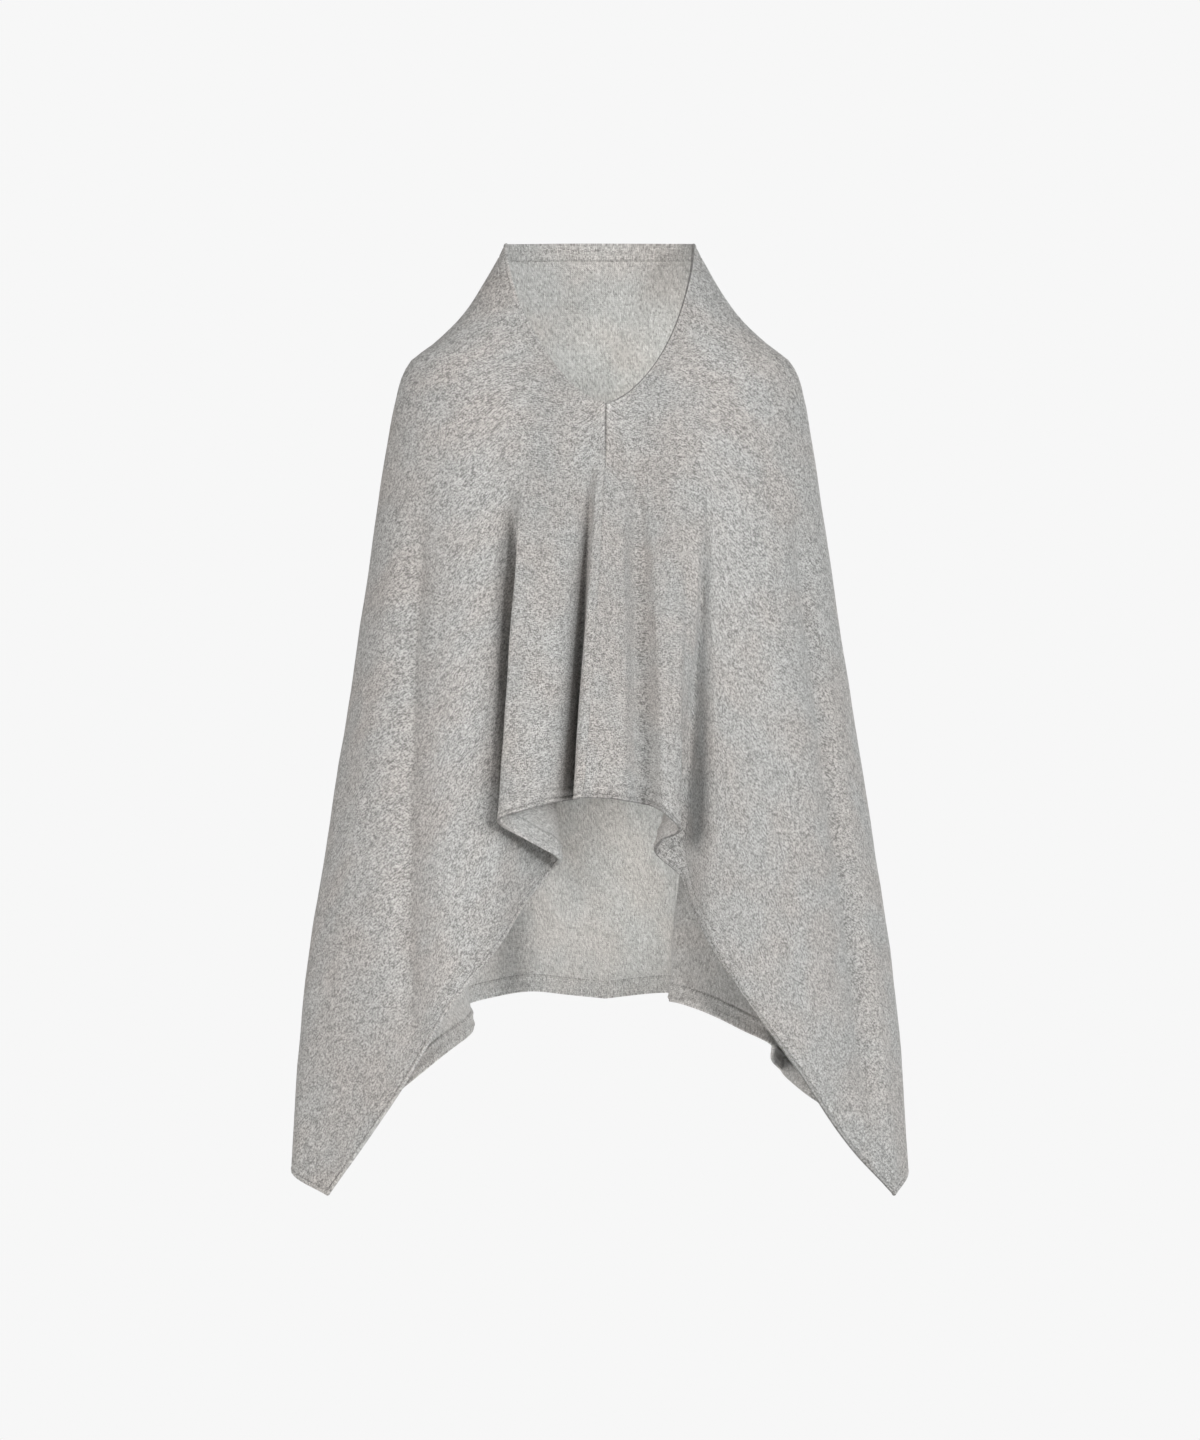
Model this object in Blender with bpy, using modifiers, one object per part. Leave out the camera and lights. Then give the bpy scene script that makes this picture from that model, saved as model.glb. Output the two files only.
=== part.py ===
"""Knitted poncho sweater, worn shape, hollow: one knitted rectangle folded round the body.

Metres, +Z up, the wearer faces -Y. The origin is the middle of the shoulder line.
The rectangle's upper long edge is the neck edge in its middle, and its two ends are
joined to each other down the centre front. The short ends are the front hem, the
lower long edge is the back hem, and the two free corners hang at the sides.
"""
from collections import namedtuple

import bmesh
import bpy
import numpy as np

# ---------------------------------------------------------------- driving sizes
CLOTH = 0.0020            # thickness of the knit
TURNED = 0.0012           # thickness of a turned edge, pressed flat
GAP = 0.0003              # clearance between the panel and an edge turned onto it
END_GAP = 0.0010          # a turned edge stops this far short of a seam or corner
TURNED_WIDTH = 0.015      # height of every turned edge
WELD_REACH = 0.00005      # joins the two ends of the panel down the centre front
ROWS = 23                 # quads from the neck edge to the hem
SIDE_CROWDING = 0.52      # draws the rows at the sides up towards the shoulders
SQUARENESS = 2.2          # exponent of the level sections: 2 is an ellipse

NECK_HALF_WIDTH = 0.095
NECK_TOP = 0.115          # height of the neck edge at the sides
NECK_DROP = 0.164         # from there down to the point of the V
NECK_ROUNDNESS = 1.6      # exponent of the neck opening: 1 is a straight V
BACK_NECK_RISE = 0.006    # the centre back stands this much above the sides
SEAM_LEAN = 0.0055        # the V sits this far towards +X
LEAN_FOCUS = 6            # exponent: the higher, the closer to the centre front the lean stays

PANEL_SHADE = 0.42        # brightness of the grey wool
TURNED_SHADE = 0.40
WOOL_TINT = (1.0, 0.97, 0.94)
WOOL_ROUGHNESS = 0.95

# Level sections of the worn shape without its folds.
Section = namedtuple("Section", "height half_width front back")
SECTIONS = (
    Section(+0.130, 0.0890, 0.060, 0.060),
    Section(+0.115, 0.0955, 0.061, 0.065),
    Section(+0.080, 0.1145, 0.063, 0.075),
    Section(+0.040, 0.1415, 0.067, 0.086),
    Section(+0.015, 0.1680, 0.072, 0.092),
    Section(+0.000, 0.1880, 0.076, 0.095),
    Section(-0.015, 0.1970, 0.080, 0.098),
    Section(-0.040, 0.2045, 0.087, 0.102),
    Section(-0.090, 0.2135, 0.104, 0.107),
    Section(-0.160, 0.2245, 0.123, 0.110),
    Section(-0.300, 0.2455, 0.136, 0.110),
    Section(-0.440, 0.2665, 0.142, 0.110),
    Section(-0.640, 0.2955, 0.142, 0.112),
    Section(-0.740, 0.3035, 0.138, 0.112),
    Section(-0.850, 0.3085, 0.134, 0.112),
)

# The hem, from the centre front round the side to the centre back. angle is the place
# round the body (90 front, 0 side, -90 back), x y z the hem point in metres, start how
# far down from the neck its fold begins, ease how the fold grows from there (under 1 it
# deepens early, over 1 late), and quads the number of quads up to the next row.
Fold = namedtuple("Fold", "name angle x y z start ease quads")
LEFT_FRONT = (
    Fold("centre front",   90.0, -0.016, -0.152, -0.434, 0.10, 1.0, 1),
    Fold("pleat crest",    89.0, -0.023, -0.149, -0.435, 0.10, 0.8, 2),
    Fold("pleat side",     88.1, -0.023, -0.114, -0.436, 0.13, 0.7, 1),
    Fold("pleat floor",    87.3, -0.026, -0.092, -0.437, 0.13, 0.7, 1),
    Fold("pleat flank",    86.0, -0.035, -0.116, -0.438, 0.13, 0.7, 1),
    Fold("apron side",     83.6, -0.050, -0.141, -0.440, 0.13, 0.8, 2),
    Fold("apron",          79.0, -0.072, -0.152, -0.446, 0.14, 1.0, 2),
    Fold("apron edge",     71.0, -0.100, -0.139, -0.456, 0.26, 0.7, 3),
    Fold("middle layer",   69.0, -0.070, -0.112, -0.477, 0.26, 0.7, 2),
    Fold("under turn",     67.2, -0.041, -0.086, -0.495, 0.26, 0.7, 2),
    Fold("turned back",    65.5, -0.046, -0.050, -0.506, 0.26, 0.7, 2),
    Fold("side of panel",  63.5, -0.071, -0.076, -0.537, 0.26, 0.7, 2),
    Fold("panel edge",     61.0, -0.098, -0.110, -0.580, 0.20, 0.9, 2),
    Fold("inner panel",    57.0, -0.145, -0.118, -0.638, 0.20, 1.1, 3),
    Fold("outer panel",    50.0, -0.195, -0.098, -0.721, 0.20, 1.4, 5),
    Fold("corner",         27.0, -0.271, -0.038, -0.831, 0.20, 1.4, 3),
)
LEFT_BACK = (
    Fold("corner",         27.0, -0.271, -0.038, -0.831, 0.20, 1.4, 3),
    Fold("side",            0.0, -0.308, -0.002, -0.812, 0.20, 1.4, 4),
    Fold("side trough",   -18.0, -0.254,  0.070, -0.777, 0.20, 1.4, 4),
    Fold("near front",    -34.0, -0.183, -0.045, -0.714, 0.20, 1.3, 2),
    Fold("ridge",         -39.0, -0.154, -0.038, -0.690, 0.20, 1.3, 2),
    Fold("forward turn",  -44.0, -0.132, -0.014, -0.673, 0.20, 1.2, 3),
    Fold("fold side",     -49.0, -0.136,  0.050, -0.658, 0.20, 1.2, 3),
    Fold("deep turn",     -54.0, -0.132,  0.104, -0.647, 0.20, 1.1, 2),
    Fold("back panel",    -60.0, -0.106,  0.112, -0.641, 0.20, 1.0, 2),
    Fold("soft kink",     -70.0, -0.071,  0.098, -0.635, 0.20, 1.0, 2),
    Fold("middle back",   -78.0, -0.035,  0.112, -0.639, 0.20, 1.0, 3),
    Fold("centre back",   -90.0,  0.005,  0.114, -0.643, 0.20, 1.0, 3),
)
RIGHT_FRONT = (
    Fold("centre front",   90.0, -0.016, -0.152, -0.434, 0.10, 1.0, 2),
    Fold("apron",          88.0,  0.012, -0.152, -0.435, 0.14, 1.0, 2),
    Fold("near floor",     86.9,  0.026, -0.150, -0.437, 0.11, 0.6, 1),
    Fold("soft floor",     84.2,  0.045, -0.127, -0.441, 0.11, 0.5, 1),
    Fold("apron crest",    80.6,  0.063, -0.146, -0.450, 0.14, 0.8, 3),
    Fold("apron edge",     72.0,  0.079, -0.139, -0.465, 0.28, 0.9, 2),
    Fold("middle layer",   70.0,  0.062, -0.112, -0.477, 0.30, 1.8, 2),
    Fold("under turn",     68.0,  0.056, -0.092, -0.490, 0.30, 1.8, 2),
    Fold("floor",          64.5,  0.080, -0.088, -0.514, 0.28, 0.9, 2),
    Fold("valley",         63.0,  0.087, -0.092, -0.537, 0.28, 0.9, 2),
    Fold("panel edge",     59.6,  0.106, -0.114, -0.577, 0.24, 0.9, 2),
    Fold("inner panel",    55.5,  0.137, -0.122, -0.624, 0.20, 1.1, 3),
    Fold("outer panel",    48.0,  0.196, -0.104, -0.705, 0.20, 1.4, 3),
    Fold("lower panel",    36.0,  0.241, -0.076, -0.772, 0.20, 1.4, 3),
    Fold("corner",         24.0,  0.293, -0.038, -0.831, 0.20, 1.4, 3),
)
RIGHT_BACK = (
    Fold("corner",         24.0,  0.293, -0.038, -0.831, 0.20, 1.4, 3),
    Fold("side",            0.0,  0.308,  0.000, -0.812, 0.20, 1.4, 4),
    Fold("side trough",   -16.0,  0.250,  0.070, -0.768, 0.20, 1.4, 3),
    Fold("lies deep",     -28.0,  0.212,  0.005, -0.737, 0.20, 1.3, 2),
    Fold("step",          -34.0,  0.182,  0.034, -0.712, 0.20, 1.3, 2),
    Fold("edge behind",   -38.0,  0.171, -0.010, -0.697, 0.20, 1.3, 2),
    Fold("crest edge",    -42.0,  0.169, -0.040, -0.681, 0.20, 1.3, 2),
    Fold("crest",         -47.0,  0.139, -0.040, -0.666, 0.20, 1.3, 2),
    Fold("ridge",         -51.0,  0.105, -0.030, -0.650, 0.20, 1.2, 2),
    Fold("forward turn",  -55.0,  0.078, -0.006, -0.641, 0.20, 1.2, 3),
    Fold("fold side",     -59.0,  0.085,  0.050, -0.638, 0.20, 1.1, 2),
    Fold("deep turn",     -63.0,  0.090,  0.092, -0.637, 0.20, 1.0, 2),
    Fold("back panel",    -70.0,  0.065,  0.110, -0.637, 0.20, 1.0, 3),
    Fold("centre back",   -90.0,  0.005,  0.114, -0.643, 0.20, 1.0, 4),
)
SOFT_START = 0.10         # rounds off the place where a fold begins
HALVINGS = 40             # steps of the search for the height of the neck edge


# ---------------------------------------------------------------- curves
def smooth(knots, values, at):
    """Cubic curve through values at rising knots, read at the places given."""
    knots, values = np.asarray(knots, float), np.asarray(values, float)
    slopes = np.gradient(values, knots, axis=0)
    i = np.clip(np.searchsorted(knots, at, side="right") - 1, 0, len(knots) - 2)
    step = knots[i + 1] - knots[i]
    t = (at - knots[i]) / step
    if values.ndim > 1:
        t, step = t[:, None], step[:, None]
    return ((1 + 2 * t) * (1 - t) ** 2 * values[i] + t * (1 - t) ** 2 * step * slopes[i]
            + t * t * (3 - 2 * t) * values[i + 1] + t * t * (t - 1) * step * slopes[i + 1])


def section(height):
    """Half width, front depth and back depth of the worn shape at each height."""
    table = np.array(SECTIONS)[::-1]
    flat = np.clip(np.ravel(height), table[0, 0], table[-1, 0])
    sizes = smooth(table[:, 0], table[:, 1:], flat)
    return [size.reshape(np.shape(height)) for size in sizes.T]


def bell(angle, side, height):
    """Point of the worn shape without folds; side is -1 on the left and +1 on the right."""
    half_width, front, back = section(height)
    across = np.abs(np.cos(angle)) ** (2 / SQUARENESS)
    along = np.abs(np.sin(angle)) ** (2 / SQUARENESS)
    depth = np.where(angle > 0, -front, back)
    return np.stack([side * half_width * across, depth * along, height], axis=-1)


def neck_height(angle):
    """Height at which each line down the body meets the edge of the neck."""
    low = np.full(angle.shape, NECK_TOP - NECK_DROP)
    high = np.full(angle.shape, NECK_TOP)
    across = np.abs(np.cos(angle)) ** (2 / SQUARENESS)
    for _ in range(HALVINGS):
        middle = (low + high) / 2
        fallen = (NECK_TOP - middle) / NECK_DROP
        edge = NECK_HALF_WIDTH * (1 - fallen ** NECK_ROUNDNESS) ** (1 / NECK_ROUNDNESS)
        outside = across * section(middle)[0] > edge
        low, high = np.where(outside, middle, low), np.where(outside, high, middle)
    back = NECK_TOP + BACK_NECK_RISE * np.abs(np.sin(angle))
    return np.where(angle > 0, (low + high) / 2, back)


# ---------------------------------------------------------------- the draped surface
def hem_columns(folds):
    """Angle, hem point and fold start of every column along one stretch of the hem."""
    points = np.array([(f.x, f.y, f.z) for f in folds])
    knots = np.concatenate([[0], np.cumsum(np.linalg.norm(np.diff(points, axis=0), axis=1))])
    at = [np.linspace(knots[i], knots[i + 1], f.quads, endpoint=False)
          for i, f in enumerate(folds[:-1])]
    at = np.concatenate(at + [[knots[-1]]])
    angle = np.radians(np.interp(at, knots, [f.angle for f in folds]))
    start = np.interp(at, knots, [f.start for f in folds])
    ease = np.interp(at, knots, [f.ease for f in folds])
    return angle, smooth(knots, points, at), start, ease


def stretch(folds, side):
    """Grid of points of one stretch: ROWS + 1 rows down, one column for each hem point."""
    angle, hem, start, ease = hem_columns(folds)
    top = neck_height(angle)
    length = top - hem[:, 2]
    inner = np.linspace(0, 1, ROWS - 1)[:, None] ** (1 + SIDE_CROWDING * np.cos(angle) ** 2)
    band = TURNED_WIDTH / length
    down = np.vstack([np.zeros_like(band), band + (1 - 2 * band) * inner, np.ones_like(band)])
    height = top - down * length
    grid = bell(np.broadcast_to(angle, height.shape), side, height)
    offset = hem - bell(angle, side, hem[:, 2])
    past = np.clip((down - start) / (1 - start), 0, 1)
    grown = (past * past * (1 + SOFT_START) / (past + SOFT_START)) ** ease
    grid += offset * grown[:, :, None]
    near_centre = np.clip(np.sin(angle), 0, 1) ** LEAN_FOCUS
    grid[:, :, 0] += SEAM_LEAN * near_centre * np.cos(down * np.pi / 2)
    return grid


def below(piece, depth, shape):
    """The grid of a closed ring's points, moved inwards along its own normals."""
    count = len(piece.data.vertices)
    points, normals = np.empty(count * 3), np.empty(count * 3)
    piece.data.vertices.foreach_get("co", points)
    piece.data.vertex_normals.foreach_get("vector", normals)
    normals = normals.reshape(shape)
    seam = normals[:, 0] + normals[:, -1]
    normals[:, 0] = normals[:, -1] = seam / np.linalg.norm(seam, axis=1, keepdims=True)
    return points.reshape(shape) - depth * normals


def pull_in_ends(edge):
    """The same strip with each end made a little shorter."""
    strip = edge.copy()
    for end, inner in ((0, 1), (-1, -2)):
        run = edge[:, inner] - edge[:, end]
        strip[:, end] += END_GAP * run / np.linalg.norm(run, axis=1, keepdims=True)
    return strip


# ---------------------------------------------------------------- Blender objects
def wool(name, shade):
    material = bpy.data.materials.new(name)
    material.use_nodes = True
    shader = material.node_tree.nodes["Principled BSDF"]
    shader.inputs["Base Color"].default_value = (*(shade * tint for tint in WOOL_TINT), 1)
    shader.inputs["Roughness"].default_value = WOOL_ROUGHNESS
    return material


def cloth(name, grid, thickness, material, collection):
    """A sheet over a grid of points, thickened inwards to a closed wall."""
    rows, columns = grid.shape[:2]
    sheet = bmesh.new()
    bmesh.ops.create_grid(sheet, x_segments=columns - 1, y_segments=rows - 1, size=1)
    for vertex, point in zip(sheet.verts, grid.reshape(-1, 3)):
        vertex.co = point
    mesh = bpy.data.meshes.new(name)
    sheet.to_mesh(mesh)
    sheet.free()
    mesh.shade_smooth()
    mesh.materials.append(material)
    piece = bpy.data.objects.new(name, mesh)
    collection.objects.link(piece)
    seam = piece.modifiers.new("seam", "WELD")
    seam.merge_threshold = WELD_REACH
    wall = piece.modifiers.new("wall", "SOLIDIFY")
    wall.thickness = thickness
    wall.offset = -1
    wall.use_even_offset = False
    return piece


def main():
    for old in list(bpy.data.objects):
        bpy.data.objects.remove(old)
    collection = bpy.data.collections.new("knitted_poncho_sweater")
    bpy.context.scene.collection.children.link(collection)

    left_front = stretch(LEFT_FRONT, -1)
    left_back = stretch(LEFT_BACK, -1)
    right_back = stretch(RIGHT_BACK, 1)[:, ::-1]
    right_front = stretch(RIGHT_FRONT, 1)[:, ::-1]
    back = np.concatenate([left_back, right_back[:, 1:]], axis=1)
    panel = np.concatenate([left_front, back[:, 1:], right_front[:, 1:]], axis=1)

    knit = wool("grey wool", PANEL_SHADE)
    body = cloth("body_panel", panel, CLOTH, knit, collection)
    lining = below(body, CLOTH + GAP, panel.shape)
    left, right = left_front.shape[1], panel.shape[1] - right_front.shape[1]
    edges = {"neck_hem": lining[:2], "front_hem_left": lining[-2:, :left],
             "back_hem": lining[-2:, left - 1:right + 1], "front_hem_right": lining[-2:, right:]}
    turned = wool("grey wool, turned edge", TURNED_SHADE)
    for name, edge in edges.items():
        cloth(name, pull_in_ends(edge), TURNED, turned, collection)


main()
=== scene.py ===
# %% [markdown]
# # A knitted poncho sweater
# The garment is one knitted rectangle of heather grey wool. Its two ends are joined down
# the centre front, the middle of its upper edge is the neck, and the free corners hang
# at the sides. It could be draped with a cloth simulation, but a worn shape with chosen
# folds is easier to steer as a surface worked out from sections and a table of folds.
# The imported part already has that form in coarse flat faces. This script loads the part
# as a fixed frame, then dresses it: a finer shell, rolled edges, seam, stitches and knit.

# %% Load the fixed frame
import math
from collections import namedtuple

import bmesh
import bpy
import numpy as np
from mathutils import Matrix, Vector, noise


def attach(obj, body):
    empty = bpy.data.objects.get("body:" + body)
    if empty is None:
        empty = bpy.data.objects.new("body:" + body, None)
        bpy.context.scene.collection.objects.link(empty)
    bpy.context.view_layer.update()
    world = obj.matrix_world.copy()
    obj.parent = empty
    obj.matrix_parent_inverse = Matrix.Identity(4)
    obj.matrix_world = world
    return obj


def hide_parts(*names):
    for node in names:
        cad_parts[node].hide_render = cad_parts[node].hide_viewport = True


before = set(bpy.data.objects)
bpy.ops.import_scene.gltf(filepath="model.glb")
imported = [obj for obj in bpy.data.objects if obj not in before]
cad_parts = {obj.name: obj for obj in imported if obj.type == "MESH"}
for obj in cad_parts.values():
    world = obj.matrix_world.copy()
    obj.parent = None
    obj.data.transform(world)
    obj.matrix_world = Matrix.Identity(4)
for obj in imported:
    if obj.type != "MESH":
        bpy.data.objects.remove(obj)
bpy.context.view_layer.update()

print("frame nodes:", sorted(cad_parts))

# %% [markdown]
# ## The worn shape
# Worn cloth is easiest to read as level sections: at each height a half width, a front
# depth and a back depth. Between the sections a cubic curve keeps the surface smooth.
# The numbers are the part's own, so that the shell lies on the solid.

# %% Driving sizes
CLOTH = 0.0020            # thickness of the knit
TURNED = 0.0012           # thickness of a turned edge, pressed flat
GAP = 0.0003              # clearance between the panel and the edge turned onto it
END_GAP = 0.0010          # a turned edge stops this far short of a seam or corner
WELD_REACH = 0.00005      # joins the two ends of the panel down the centre front
SIDE_CROWDING = 0.52      # draws the rows at the sides up towards the shoulders
SQUARENESS = 2.2          # exponent of the level sections: 2 is an ellipse
NECK_HALF_WIDTH = 0.095
NECK_TOP = 0.115          # height of the neck edge at the sides
NECK_DROP = 0.164         # from there down to the point of the V
NECK_ROUNDNESS = 1.6      # exponent of the neck opening: 1 is a straight V
BACK_NECK_RISE = 0.006    # the centre back stands this much above the sides
SEAM_LEAN = 0.0055        # the V sits this far towards +X
LEAN_FOCUS = 6            # exponent: the higher, the closer to the centre front it stays

Section = namedtuple("Section", "height half_width front back")
SECTIONS = (
    Section(+0.130, 0.0890, 0.060, 0.060),
    Section(+0.115, 0.0955, 0.061, 0.065),
    Section(+0.080, 0.1145, 0.063, 0.075),
    Section(+0.040, 0.1415, 0.067, 0.086),
    Section(+0.015, 0.1680, 0.072, 0.092),
    Section(+0.000, 0.1880, 0.076, 0.095),
    Section(-0.015, 0.1970, 0.080, 0.098),
    Section(-0.040, 0.2045, 0.087, 0.102),
    Section(-0.090, 0.2135, 0.104, 0.107),
    Section(-0.160, 0.2245, 0.123, 0.110),
    Section(-0.300, 0.2455, 0.136, 0.110),
    Section(-0.440, 0.2665, 0.142, 0.110),
    Section(-0.640, 0.2955, 0.142, 0.112),
    Section(-0.740, 0.3035, 0.138, 0.112),
    Section(-0.850, 0.3085, 0.134, 0.112),
)


# %% Lines of points
def distances(points, axis=0):
    """How far along its line each point lies from the first."""
    steps = np.linalg.norm(np.diff(points, axis=axis), axis=-1)
    start = np.zeros_like(np.take(steps, [0], axis=axis))
    return np.concatenate([start, np.cumsum(steps, axis=axis)], axis=axis)


def unit(vectors):
    """The same directions at length 1."""
    return vectors / np.linalg.norm(vectors, axis=-1, keepdims=True)


# %% A smooth curve through a few values, and the worn shape from it
def smooth(knots, values, at):
    """Cubic curve through values at rising knots, read at the places given."""
    knots, values = np.asarray(knots, float), np.asarray(values, float)
    slopes = np.gradient(values, knots, axis=0)
    i = np.clip(np.searchsorted(knots, at, side="right") - 1, 0, len(knots) - 2)
    step = knots[i + 1] - knots[i]
    t = (at - knots[i]) / step
    if values.ndim > 1:
        t, step = t[:, None], step[:, None]
    return ((1 + 2 * t) * (1 - t) ** 2 * values[i] + t * (1 - t) ** 2 * step * slopes[i]
            + t * t * (3 - 2 * t) * values[i + 1] + t * t * (t - 1) * step * slopes[i + 1])


def section(height):
    """Half width, front depth and back depth of the worn shape at each height."""
    table = np.array(SECTIONS)[::-1]
    flat = np.clip(np.ravel(height), table[0, 0], table[-1, 0])
    sizes = smooth(table[:, 0], table[:, 1:], flat)
    return [size.reshape(np.shape(height)) for size in sizes.T]


def squared(share):
    """Cosine or sine of an angle, for the squared ellipse of a level section."""
    return np.abs(share) ** (2 / SQUARENESS)


def bell(angle, side, height):
    """Point of the worn shape without folds; side is -1 on the left, +1 on the right."""
    half_width, front, back = section(height)
    depth = np.where(angle > 0, -front, back)
    return np.stack([side * half_width * squared(np.cos(angle)),
                     depth * squared(np.sin(angle)), height], axis=-1)


# %% The neck opening, where each line down the body begins
HALVINGS = 40             # steps of the search for the height of the neck edge


def neck_height(angle):
    """Height at which each line down the body meets the edge of the neck."""
    low = np.full(angle.shape, NECK_TOP - NECK_DROP)
    high = np.full(angle.shape, NECK_TOP)
    across = squared(np.cos(angle))
    for _ in range(HALVINGS):
        middle = (low + high) / 2
        fallen = (NECK_TOP - middle) / NECK_DROP
        edge = NECK_HALF_WIDTH * (1 - fallen ** NECK_ROUNDNESS) ** (1 / NECK_ROUNDNESS)
        outside = across * section(middle)[0] > edge
        low, high = np.where(outside, middle, low), np.where(outside, high, middle)
    back = NECK_TOP + BACK_NECK_RISE * np.abs(np.sin(angle))
    return np.where(angle > 0, (low + high) / 2, back)


# %% [markdown]
# ## The folds
# A fold in hanging cloth grows from nothing near the shoulders to its full depth at the
# hem. So one table says where the hem runs, point by point, and each line down the body
# moves from the plain worn shape to its hem point. The shape of the hem is all that the
# table holds: every pleat, turned layer and trough above it follows from that.

# %% The hem, from the centre front round the side to the centre back
# angle is the place round the body (90 front, 0 side, -90 back), x y z the hem point in
# metres, start how far down its fold begins and ease how the fold grows from there.
Fold = namedtuple("Fold", "name angle x y z start ease")
CENTRE_FRONT = Fold("centre front", 90.0, -0.016, -0.152, -0.434, 0.10, 1.0)
CENTRE_BACK = Fold("centre back", -90.0, 0.005, 0.114, -0.643, 0.20, 1.0)
LEFT_POINT = Fold("corner", 27.0, -0.271, -0.038, -0.831, 0.20, 1.4)
RIGHT_POINT = Fold("corner", 24.0, 0.293, -0.038, -0.831, 0.20, 1.4)
LEFT_FRONT = (
    CENTRE_FRONT,
    Fold("pleat crest",    89.0, -0.023, -0.149, -0.435, 0.10, 0.8),
    Fold("pleat side",     88.1, -0.023, -0.114, -0.436, 0.13, 0.7),
    Fold("pleat floor",    87.3, -0.026, -0.092, -0.437, 0.13, 0.7),
    Fold("pleat flank",    86.0, -0.035, -0.116, -0.438, 0.13, 0.7),
    Fold("apron side",     83.6, -0.050, -0.141, -0.440, 0.13, 0.8),
    Fold("apron",          79.0, -0.072, -0.152, -0.446, 0.14, 1.0),
    Fold("apron edge",     71.0, -0.100, -0.139, -0.456, 0.26, 0.7),
    Fold("middle layer",   69.0, -0.070, -0.112, -0.477, 0.26, 0.7),
    Fold("under turn",     67.2, -0.041, -0.086, -0.495, 0.26, 0.7),
    Fold("turned back",    65.5, -0.046, -0.050, -0.506, 0.26, 0.7),
    Fold("side of panel",  63.5, -0.071, -0.076, -0.537, 0.26, 0.7),
    Fold("panel edge",     61.0, -0.098, -0.110, -0.580, 0.20, 0.9),
    Fold("inner panel",    57.0, -0.145, -0.118, -0.638, 0.20, 1.1),
    Fold("outer panel",    50.0, -0.195, -0.098, -0.721, 0.20, 1.4),
    LEFT_POINT,
)
LEFT_BACK = (
    LEFT_POINT,
    Fold("side",            0.0, -0.308, -0.002, -0.812, 0.20, 1.4),
    Fold("side trough",   -18.0, -0.254,  0.070, -0.777, 0.20, 1.4),
    Fold("near front",    -34.0, -0.183, -0.045, -0.714, 0.20, 1.3),
    Fold("ridge",         -39.0, -0.154, -0.038, -0.690, 0.20, 1.3),
    Fold("forward turn",  -44.0, -0.132, -0.014, -0.673, 0.20, 1.2),
    Fold("fold side",     -49.0, -0.136,  0.050, -0.658, 0.20, 1.2),
    Fold("deep turn",     -54.0, -0.132,  0.104, -0.647, 0.20, 1.1),
    Fold("back panel",    -60.0, -0.106,  0.112, -0.641, 0.20, 1.0),
    Fold("soft kink",     -70.0, -0.071,  0.098, -0.635, 0.20, 1.0),
    Fold("middle back",   -78.0, -0.035,  0.112, -0.639, 0.20, 1.0),
    CENTRE_BACK,
)
RIGHT_FRONT = (
    CENTRE_FRONT,
    Fold("apron",          88.0,  0.012, -0.152, -0.435, 0.14, 1.0),
    Fold("near floor",     86.9,  0.026, -0.150, -0.437, 0.11, 0.6),
    Fold("soft floor",     84.2,  0.045, -0.127, -0.441, 0.11, 0.5),
    Fold("apron crest",    80.6,  0.063, -0.146, -0.450, 0.14, 0.8),
    Fold("apron edge",     72.0,  0.079, -0.139, -0.465, 0.28, 0.9),
    Fold("middle layer",   70.0,  0.062, -0.112, -0.477, 0.30, 1.8),
    Fold("under turn",     68.0,  0.056, -0.092, -0.490, 0.30, 1.8),
    Fold("floor",          64.5,  0.080, -0.088, -0.514, 0.28, 0.9),
    Fold("valley",         63.0,  0.087, -0.092, -0.537, 0.28, 0.9),
    Fold("panel edge",     59.6,  0.106, -0.114, -0.577, 0.24, 0.9),
    Fold("inner panel",    55.5,  0.137, -0.122, -0.624, 0.20, 1.1),
    Fold("outer panel",    48.0,  0.196, -0.104, -0.705, 0.20, 1.4),
    Fold("lower panel",    36.0,  0.241, -0.076, -0.772, 0.20, 1.4),
    RIGHT_POINT,
)
RIGHT_BACK = (
    RIGHT_POINT,
    Fold("side",            0.0,  0.308,  0.000, -0.812, 0.20, 1.4),
    Fold("side trough",   -16.0,  0.250,  0.070, -0.768, 0.20, 1.4),
    Fold("lies deep",     -28.0,  0.212,  0.005, -0.737, 0.20, 1.3),
    Fold("step",          -34.0,  0.182,  0.034, -0.712, 0.20, 1.3),
    Fold("edge behind",   -38.0,  0.171, -0.010, -0.697, 0.20, 1.3),
    Fold("crest edge",    -42.0,  0.169, -0.040, -0.681, 0.20, 1.3),
    Fold("crest",         -47.0,  0.139, -0.040, -0.666, 0.20, 1.3),
    Fold("ridge",         -51.0,  0.105, -0.030, -0.650, 0.20, 1.2),
    Fold("forward turn",  -55.0,  0.078, -0.006, -0.641, 0.20, 1.2),
    Fold("fold side",     -59.0,  0.085,  0.050, -0.638, 0.20, 1.1),
    Fold("deep turn",     -63.0,  0.090,  0.092, -0.637, 0.20, 1.0),
    Fold("back panel",    -70.0,  0.065,  0.110, -0.637, 0.20, 1.0),
    CENTRE_BACK,
)
print("hem points:", sum(map(len, (LEFT_FRONT, LEFT_BACK, RIGHT_FRONT, RIGHT_BACK))))

# %% [markdown]
# ## From the tables to a fine grid
# A grid of points is the plainest way to hold such a surface: one column for each line
# down the body, one row for each level. The columns are closer together in front, where
# the finest creases are, and extra ones beside the seam and extra rows near the edges
# give the stitch lines something to press into.

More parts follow.
